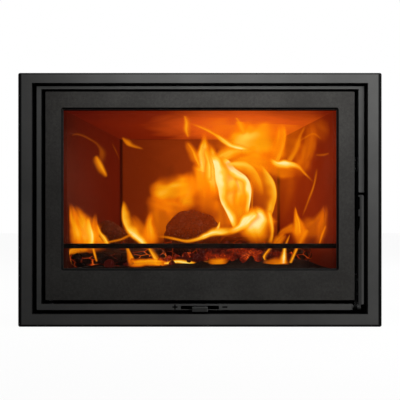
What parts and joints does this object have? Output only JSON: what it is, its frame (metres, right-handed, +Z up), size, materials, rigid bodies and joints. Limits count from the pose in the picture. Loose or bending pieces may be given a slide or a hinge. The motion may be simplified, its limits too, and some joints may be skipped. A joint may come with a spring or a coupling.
{
  "type": "fireplace insert",
  "caption": "Built-in wood-burning fireplace insert with a flat surround, a left-hung glass door, a fold-out lever handle, an air slider and a flue socket on top.",
  "frame": {"origin": "middle of the base, on the surface the insert stands on", "axes": "+X to the right seen from the front, +Y from the front to the back, +Z up"},
  "size_m": [0.77, 0.4204, 0.551],
  "materials": {
    "surround_paint": "satin anthracite stove paint",
    "lever_paint": "satin anthracite stove paint, worn on edges",
    "gap_black": "matte black heat-proof paint",
    "door_iron": "fine-grained matte black",
    "pane_glass": "clear ceramic glass",
    "seal_rope": "woven grey glass rope",
    "black_sheet": "matte black sheet",
    "liner_slab": "pressed mineral slab, sooted",
    "grate_iron": "rough grey-black casting",
    "casing_sheet": "zinc-coated sheet",
    "bright_steel": "turned or ground steel",
    "bush_bronze": "sintered bronze",
    "screw_steel": "blackened steel"
  },
  "bodies": {
    "insert": {"trim_frame": "surround_paint", "front_frame": "surround_paint", "trim_backing": "gap_black", "seal_plate": "gap_black", "firebox_shell": "gap_black", "airwash_deflector": "gap_black", "flue_gasket": "seal_rope", "air_box": "black_sheet", "liner_left": "liner_slab", "liner_right": "liner_slab", "liner_back": "liner_slab", "smoke_baffle": "liner_slab", "hearth_plate": "liner_slab", "grate": "grate_iron", "log_retainer": "grate_iron", "log_bracket_left": "grate_iron", "log_bracket_right": "grate_iron", "flue_collar": "grate_iron", "casing_wrap": "casing_sheet", "casing_base": "casing_sheet", "casing_back": "casing_sheet", "base_rail_left": "casing_sheet", "base_rail_right": "casing_sheet", "flue_cover_ring": "casing_sheet", "ash_pan": "casing_sheet", "hinge_pin_upper": "bright_steel", "hinge_pin_lower": "bright_steel", "thrust_washer": "bright_steel", "keeper_spring": "bright_steel", "trim_screws": "screw_steel", "keeper_screws": "screw_steel", "flue_bolts": "screw_steel"},
    "door": {"door_frame": "door_iron", "door_glass": "pane_glass", "glass_seal": "seal_rope", "glass_retainer_left": "black_sheet", "glass_retainer_right": "black_sheet", "glass_retainer_top": "black_sheet", "glass_retainer_bottom": "black_sheet", "glass_screws": "screw_steel", "door_seal": "seal_rope", "hinge_bush_upper": "bush_bronze", "hinge_bush_lower": "bush_bronze", "latch_nose": "bright_steel", "latch_screws": "screw_steel", "handle_bracket": "lever_paint", "handle_pin": "bright_steel", "handle_screws": "screw_steel"},
    "handle": {"handle_lever": "lever_paint"},
    "air_control": {"air_slider": "surround_paint", "air_valve_plate": "black_sheet"}
  },
  "joints": [
    {"name": "door_hinge", "type": "hinge", "parent": "insert", "child": "door", "pos_m": [-0.3175, -0.19015, 0.2773], "axis": [0, 0, -1], "range_deg": [0, 100], "deforming": ["keeper_spring"]},
    {"name": "handle_fold", "type": "hinge", "parent": "door", "child": "handle", "pos_m": [0.3384, -0.19765, 0.041], "axis": [1, 0, 0], "range_deg": [0, 70]},
    {"name": "air_slide", "type": "slide", "parent": "insert", "child": "air_control", "axis": [1, 0, 0], "range_m": [-0.023, 0.023]}
  ]
}
